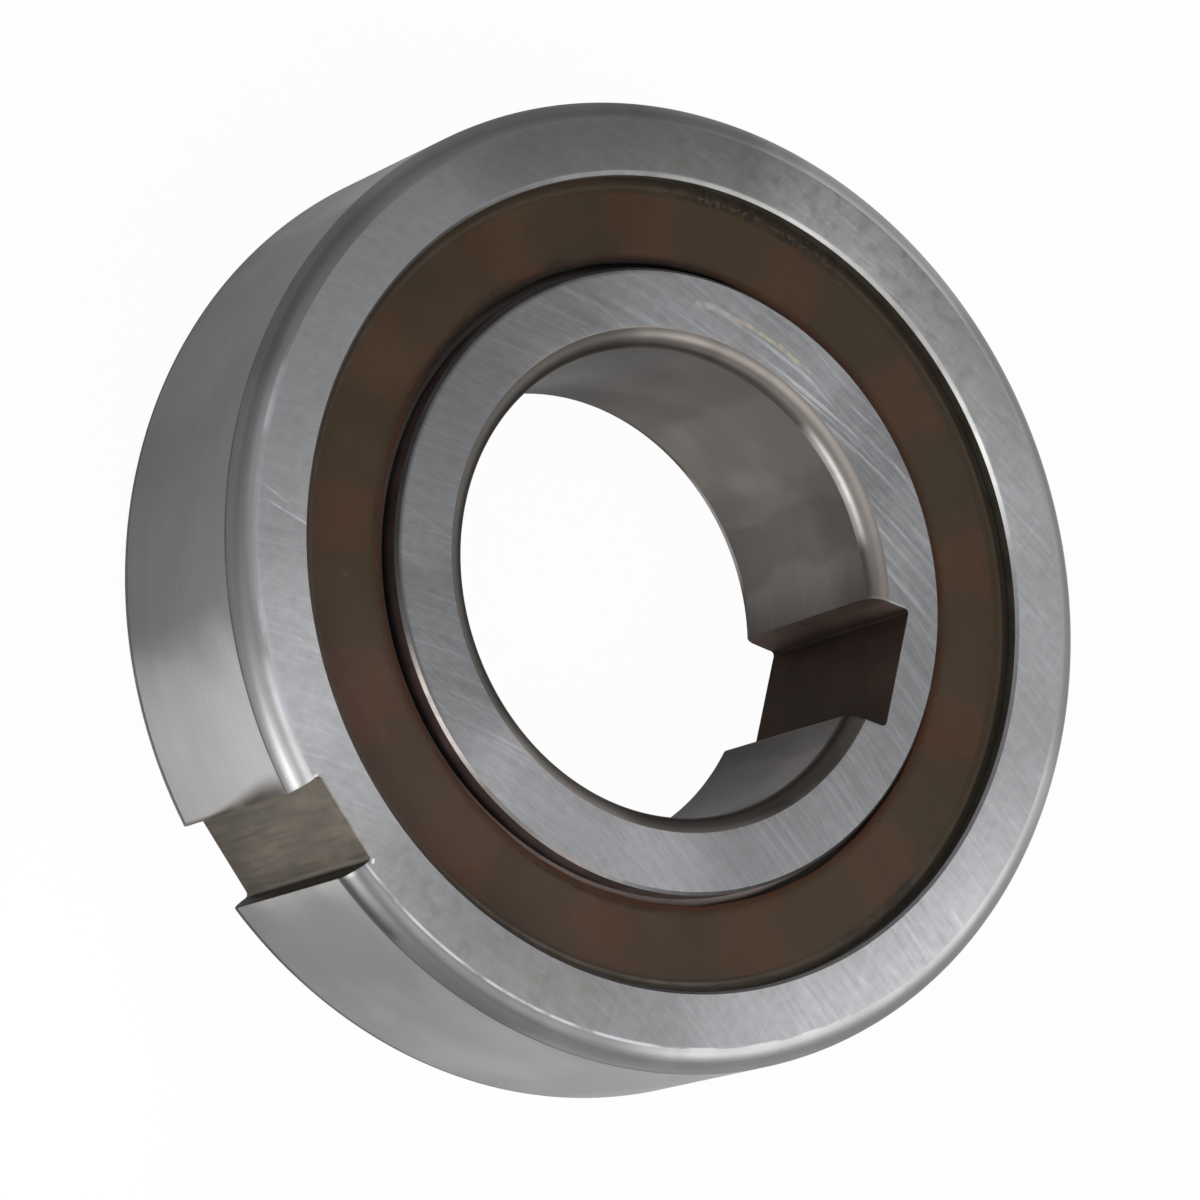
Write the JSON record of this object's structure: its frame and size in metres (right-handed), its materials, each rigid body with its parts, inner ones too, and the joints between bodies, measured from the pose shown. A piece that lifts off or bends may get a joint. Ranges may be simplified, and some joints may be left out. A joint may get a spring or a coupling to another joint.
{
  "type": "sprag clutch",
  "caption": "Ball-bearing-sized one-way sprag clutch: keyed steel inner ring runs free one way in a slotted outer ring and locks the other way, behind thin film shields.",
  "frame": {"origin": "on the axis of the bore, half way through the width of the rings", "axes": "+Z along the bore out of the front face, behind which the balls run; +X through the middle of the slot across the outer ring; the keyway in the bore is 130 degrees round from +X, counter-clockwise seen from the front"},
  "size_m": [0.0619, 0.062, 0.016],
  "materials": {
    "ring_steel": "ground bearing steel with fine crossed grinding lines",
    "shield_film": "glossy amber-brown film that the balls show through",
    "cage_plastic": "moulded reddish-brown plastic",
    "drum_plastic": "moulded dark brown plastic",
    "ball_steel": "polished balls",
    "sprag_steel": "drawn and tumbled steel",
    "spring_steel": "oiled spring wire"
  },
  "bodies": {
    "outer_ring": {"outer_ring": "ring_steel", "front_shield": "shield_film", "rear_shield": "shield_film"},
    "inner_ring": {"inner_ring": "ring_steel"},
    "ball_cage": {"ball_cage": "cage_plastic"},
    "sprag_cage": {"sprag_cage": "drum_plastic", "garter_spring": "spring_steel"},
    "ball_01": {"ball_01": "ball_steel"},
    "ball_02": {"ball_02": "ball_steel"},
    "ball_03": {"ball_03": "ball_steel"},
    "ball_04": {"ball_04": "ball_steel"},
    "ball_05": {"ball_05": "ball_steel"},
    "ball_06": {"ball_06": "ball_steel"},
    "ball_07": {"ball_07": "ball_steel"},
    "ball_08": {"ball_08": "ball_steel"},
    "ball_09": {"ball_09": "ball_steel"},
    "ball_10": {"ball_10": "ball_steel"},
    "ball_11": {"ball_11": "ball_steel"},
    "ball_12": {"ball_12": "ball_steel"},
    "ball_13": {"ball_13": "ball_steel"},
    "sprag_01": {"sprag_01": "sprag_steel"},
    "sprag_02": {"sprag_02": "sprag_steel"},
    "sprag_03": {"sprag_03": "sprag_steel"},
    "sprag_04": {"sprag_04": "sprag_steel"},
    "sprag_05": {"sprag_05": "sprag_steel"},
    "sprag_06": {"sprag_06": "sprag_steel"},
    "sprag_07": {"sprag_07": "sprag_steel"},
    "sprag_08": {"sprag_08": "sprag_steel"},
    "sprag_09": {"sprag_09": "sprag_steel"},
    "sprag_10": {"sprag_10": "sprag_steel"},
    "sprag_11": {"sprag_11": "sprag_steel"},
    "sprag_12": {"sprag_12": "sprag_steel"},
    "sprag_13": {"sprag_13": "sprag_steel"},
    "sprag_14": {"sprag_14": "sprag_steel"},
    "sprag_15": {"sprag_15": "sprag_steel"},
    "sprag_16": {"sprag_16": "sprag_steel"},
    "sprag_17": {"sprag_17": "sprag_steel"},
    "sprag_18": {"sprag_18": "sprag_steel"},
    "sprag_19": {"sprag_19": "sprag_steel"},
    "sprag_20": {"sprag_20": "sprag_steel"},
    "sprag_21": {"sprag_21": "sprag_steel"},
    "sprag_22": {"sprag_22": "sprag_steel"},
    "sprag_23": {"sprag_23": "sprag_steel"},
    "sprag_24": {"sprag_24": "sprag_steel"}
  },
  "joints": [
    {"name": "inner_ring_spin", "type": "hinge", "parent": "outer_ring", "child": "inner_ring", "pos_m": [0, 0, 0], "axis": [0, 0, 1], "range_deg": [0, 3690]},
    {"name": "ball_cage_orbit", "type": "hinge", "parent": "outer_ring", "child": "ball_cage", "pos_m": [0, 0, 0], "axis": [0, 0, 1], "continuous": true},
    {"name": "ball_01_spin", "type": "hinge", "parent": "ball_cage", "child": "ball_01", "pos_m": [0.023, 0.00036, 0], "axis": [0, 0, 1], "continuous": true},
    {"name": "ball_02_spin", "type": "hinge", "parent": "ball_cage", "child": "ball_02", "pos_m": [0.0202, 0.01101, 0], "axis": [0, 0, 1], "continuous": true},
    {"name": "ball_03_spin", "type": "hinge", "parent": "ball_cage", "child": "ball_03", "pos_m": [0.01277, 0.01913, 0], "axis": [0, 0, 1], "continuous": true},
    {"name": "ball_04_spin", "type": "hinge", "parent": "ball_cage", "child": "ball_04", "pos_m": [0.00241, 0.02287, 0], "axis": [0, 0, 1], "continuous": true},
    {"name": "ball_05_spin", "type": "hinge", "parent": "ball_cage", "child": "ball_05", "pos_m": [-0.00849, 0.02137, 0], "axis": [0, 0, 1], "continuous": true},
    {"name": "ball_06_spin", "type": "hinge", "parent": "ball_cage", "child": "ball_06", "pos_m": [-0.01745, 0.01498, 0], "axis": [0, 0, 1], "continuous": true},
    {"name": "ball_07_spin", "type": "hinge", "parent": "ball_cage", "child": "ball_07", "pos_m": [-0.02242, 0.00515, 0], "axis": [0, 0, 1], "continuous": true},
    {"name": "ball_08_spin", "type": "hinge", "parent": "ball_cage", "child": "ball_08", "pos_m": [-0.02224, -0.00585, 0], "axis": [0, 0, 1], "continuous": true},
    {"name": "ball_09_spin", "type": "hinge", "parent": "ball_cage", "child": "ball_09", "pos_m": [-0.01697, -0.01552, 0], "axis": [0, 0, 1], "continuous": true},
    {"name": "ball_10_spin", "type": "hinge", "parent": "ball_cage", "child": "ball_10", "pos_m": [-0.00782, -0.02163, 0], "axis": [0, 0, 1], "continuous": true},
    {"name": "ball_11_spin", "type": "hinge", "parent": "ball_cage", "child": "ball_11", "pos_m": [0.00313, -0.02279, 0], "axis": [0, 0, 1], "continuous": true},
    {"name": "ball_12_spin", "type": "hinge", "parent": "ball_cage", "child": "ball_12", "pos_m": [0.01336, -0.01872, 0], "axis": [0, 0, 1], "continuous": true},
    {"name": "ball_13_spin", "type": "hinge", "parent": "ball_cage", "child": "ball_13", "pos_m": [0.02053, -0.01037, 0], "axis": [0, 0, 1], "continuous": true},
    {"name": "sprag_cage_spin", "type": "hinge", "parent": "outer_ring", "child": "sprag_cage", "pos_m": [0, 0, 0], "axis": [0, 0, 1], "continuous": true},
    {"name": "sprag_01_tilt", "type": "hinge", "parent": "sprag_cage", "child": "sprag_01", "pos_m": [0.023, 0, 0], "axis": [0, 0, 1], "range_deg": [-8, 4], "stiffness_Nm_per_rad": 0.0005},
    {"name": "sprag_02_tilt", "type": "hinge", "parent": "sprag_cage", "child": "sprag_02", "pos_m": [0.02222, 0.00595, 0], "axis": [0, 0, 1], "range_deg": [-8, 4], "stiffness_Nm_per_rad": 0.0005},
    {"name": "sprag_03_tilt", "type": "hinge", "parent": "sprag_cage", "child": "sprag_03", "pos_m": [0.01992, 0.0115, 0], "axis": [0, 0, 1], "range_deg": [-8, 4], "stiffness_Nm_per_rad": 0.0005},
    {"name": "sprag_04_tilt", "type": "hinge", "parent": "sprag_cage", "child": "sprag_04", "pos_m": [0.01626, 0.01626, 0], "axis": [0, 0, 1], "range_deg": [-8, 4], "stiffness_Nm_per_rad": 0.0005},
    {"name": "sprag_05_tilt", "type": "hinge", "parent": "sprag_cage", "child": "sprag_05", "pos_m": [0.0115, 0.01992, 0], "axis": [0, 0, 1], "range_deg": [-8, 4], "stiffness_Nm_per_rad": 0.0005},
    {"name": "sprag_06_tilt", "type": "hinge", "parent": "sprag_cage", "child": "sprag_06", "pos_m": [0.00595, 0.02222, 0], "axis": [0, 0, 1], "range_deg": [-8, 4], "stiffness_Nm_per_rad": 0.0005},
    {"name": "sprag_07_tilt", "type": "hinge", "parent": "sprag_cage", "child": "sprag_07", "pos_m": [0, 0.023, 0], "axis": [0, 0, 1], "range_deg": [-8, 4], "stiffness_Nm_per_rad": 0.0005},
    {"name": "sprag_08_tilt", "type": "hinge", "parent": "sprag_cage", "child": "sprag_08", "pos_m": [-0.00595, 0.02222, 0], "axis": [0, 0, 1], "range_deg": [-8, 4], "stiffness_Nm_per_rad": 0.0005},
    {"name": "sprag_09_tilt", "type": "hinge", "parent": "sprag_cage", "child": "sprag_09", "pos_m": [-0.0115, 0.01992, 0], "axis": [0, 0, 1], "range_deg": [-8, 4], "stiffness_Nm_per_rad": 0.0005},
    {"name": "sprag_10_tilt", "type": "hinge", "parent": "sprag_cage", "child": "sprag_10", "pos_m": [-0.01626, 0.01626, 0], "axis": [0, 0, 1], "range_deg": [-8, 4], "stiffness_Nm_per_rad": 0.0005},
    {"name": "sprag_11_tilt", "type": "hinge", "parent": "sprag_cage", "child": "sprag_11", "pos_m": [-0.01992, 0.0115, 0], "axis": [0, 0, 1], "range_deg": [-8, 4], "stiffness_Nm_per_rad": 0.0005},
    {"name": "sprag_12_tilt", "type": "hinge", "parent": "sprag_cage", "child": "sprag_12", "pos_m": [-0.02222, 0.00595, 0], "axis": [0, 0, 1], "range_deg": [-8, 4], "stiffness_Nm_per_rad": 0.0005},
    {"name": "sprag_13_tilt", "type": "hinge", "parent": "sprag_cage", "child": "sprag_13", "pos_m": [-0.023, 0, 0], "axis": [0, 0, 1], "range_deg": [-8, 4], "stiffness_Nm_per_rad": 0.0005},
    {"name": "sprag_14_tilt", "type": "hinge", "parent": "sprag_cage", "child": "sprag_14", "pos_m": [-0.02222, -0.00595, 0], "axis": [0, 0, 1], "range_deg": [-8, 4], "stiffness_Nm_per_rad": 0.0005},
    {"name": "sprag_15_tilt", "type": "hinge", "parent": "sprag_cage", "child": "sprag_15", "pos_m": [-0.01992, -0.0115, 0], "axis": [0, 0, 1], "range_deg": [-8, 4], "stiffness_Nm_per_rad": 0.0005},
    {"name": "sprag_16_tilt", "type": "hinge", "parent": "sprag_cage", "child": "sprag_16", "pos_m": [-0.01626, -0.01626, 0], "axis": [0, 0, 1], "range_deg": [-8, 4], "stiffness_Nm_per_rad": 0.0005},
    {"name": "sprag_17_tilt", "type": "hinge", "parent": "sprag_cage", "child": "sprag_17", "pos_m": [-0.0115, -0.01992, 0], "axis": [0, 0, 1], "range_deg": [-8, 4], "stiffness_Nm_per_rad": 0.0005},
    {"name": "sprag_18_tilt", "type": "hinge", "parent": "sprag_cage", "child": "sprag_18", "pos_m": [-0.00595, -0.02222, 0], "axis": [0, 0, 1], "range_deg": [-8, 4], "stiffness_Nm_per_rad": 0.0005},
    {"name": "sprag_19_tilt", "type": "hinge", "parent": "sprag_cage", "child": "sprag_19", "pos_m": [0, -0.023, 0], "axis": [0, 0, 1], "range_deg": [-8, 4], "stiffness_Nm_per_rad": 0.0005},
    {"name": "sprag_20_tilt", "type": "hinge", "parent": "sprag_cage", "child": "sprag_20", "pos_m": [0.00595, -0.02222, 0], "axis": [0, 0, 1], "range_deg": [-8, 4], "stiffness_Nm_per_rad": 0.0005},
    {"name": "sprag_21_tilt", "type": "hinge", "parent": "sprag_cage", "child": "sprag_21", "pos_m": [0.0115, -0.01992, 0], "axis": [0, 0, 1], "range_deg": [-8, 4], "stiffness_Nm_per_rad": 0.0005},
    {"name": "sprag_22_tilt", "type": "hinge", "parent": "sprag_cage", "child": "sprag_22", "pos_m": [0.01626, -0.01626, 0], "axis": [0, 0, 1], "range_deg": [-8, 4], "stiffness_Nm_per_rad": 0.0005},
    {"name": "sprag_23_tilt", "type": "hinge", "parent": "sprag_cage", "child": "sprag_23", "pos_m": [0.01992, -0.0115, 0], "axis": [0, 0, 1], "range_deg": [-8, 4], "stiffness_Nm_per_rad": 0.0005},
    {"name": "sprag_24_tilt", "type": "hinge", "parent": "sprag_cage", "child": "sprag_24", "pos_m": [0.02222, -0.00595, 0], "axis": [0, 0, 1], "range_deg": [-8, 4], "stiffness_Nm_per_rad": 0.0005}
  ],
  "couplings": [
    {"joint": "ball_cage_orbit", "follows": "inner_ring_spin", "ratio": 0.43098},
    {"joint": "ball_01_spin", "follows": "inner_ring_spin", "ratio": -3.553},
    {"joint": "ball_02_spin", "follows": "inner_ring_spin", "ratio": -3.553},
    {"joint": "ball_03_spin", "follows": "inner_ring_spin", "ratio": -3.553},
    {"joint": "ball_04_spin", "follows": "inner_ring_spin", "ratio": -3.553},
    {"joint": "ball_05_spin", "follows": "inner_ring_spin", "ratio": -3.553},
    {"joint": "ball_06_spin", "follows": "inner_ring_spin", "ratio": -3.553},
    {"joint": "ball_07_spin", "follows": "inner_ring_spin", "ratio": -3.553},
    {"joint": "ball_08_spin", "follows": "inner_ring_spin", "ratio": -3.553},
    {"joint": "ball_09_spin", "follows": "inner_ring_spin", "ratio": -3.553},
    {"joint": "ball_10_spin", "follows": "inner_ring_spin", "ratio": -3.553},
    {"joint": "ball_11_spin", "follows": "inner_ring_spin", "ratio": -3.553},
    {"joint": "ball_12_spin", "follows": "inner_ring_spin", "ratio": -3.553},
    {"joint": "ball_13_spin", "follows": "inner_ring_spin", "ratio": -3.553},
    {"joint": "sprag_02_tilt", "follows": "sprag_01_tilt", "ratio": 1},
    {"joint": "sprag_03_tilt", "follows": "sprag_01_tilt", "ratio": 1},
    {"joint": "sprag_04_tilt", "follows": "sprag_01_tilt", "ratio": 1},
    {"joint": "sprag_05_tilt", "follows": "sprag_01_tilt", "ratio": 1},
    {"joint": "sprag_06_tilt", "follows": "sprag_01_tilt", "ratio": 1},
    {"joint": "sprag_07_tilt", "follows": "sprag_01_tilt", "ratio": 1},
    {"joint": "sprag_08_tilt", "follows": "sprag_01_tilt", "ratio": 1},
    {"joint": "sprag_09_tilt", "follows": "sprag_01_tilt", "ratio": 1},
    {"joint": "sprag_10_tilt", "follows": "sprag_01_tilt", "ratio": 1},
    {"joint": "sprag_11_tilt", "follows": "sprag_01_tilt", "ratio": 1},
    {"joint": "sprag_12_tilt", "follows": "sprag_01_tilt", "ratio": 1},
    {"joint": "sprag_13_tilt", "follows": "sprag_01_tilt", "ratio": 1},
    {"joint": "sprag_14_tilt", "follows": "sprag_01_tilt", "ratio": 1},
    {"joint": "sprag_15_tilt", "follows": "sprag_01_tilt", "ratio": 1},
    {"joint": "sprag_16_tilt", "follows": "sprag_01_tilt", "ratio": 1},
    {"joint": "sprag_17_tilt", "follows": "sprag_01_tilt", "ratio": 1},
    {"joint": "sprag_18_tilt", "follows": "sprag_01_tilt", "ratio": 1},
    {"joint": "sprag_19_tilt", "follows": "sprag_01_tilt", "ratio": 1},
    {"joint": "sprag_20_tilt", "follows": "sprag_01_tilt", "ratio": 1},
    {"joint": "sprag_21_tilt", "follows": "sprag_01_tilt", "ratio": 1},
    {"joint": "sprag_22_tilt", "follows": "sprag_01_tilt", "ratio": 1},
    {"joint": "sprag_23_tilt", "follows": "sprag_01_tilt", "ratio": 1},
    {"joint": "sprag_24_tilt", "follows": "sprag_01_tilt", "ratio": 1}
  ]
}
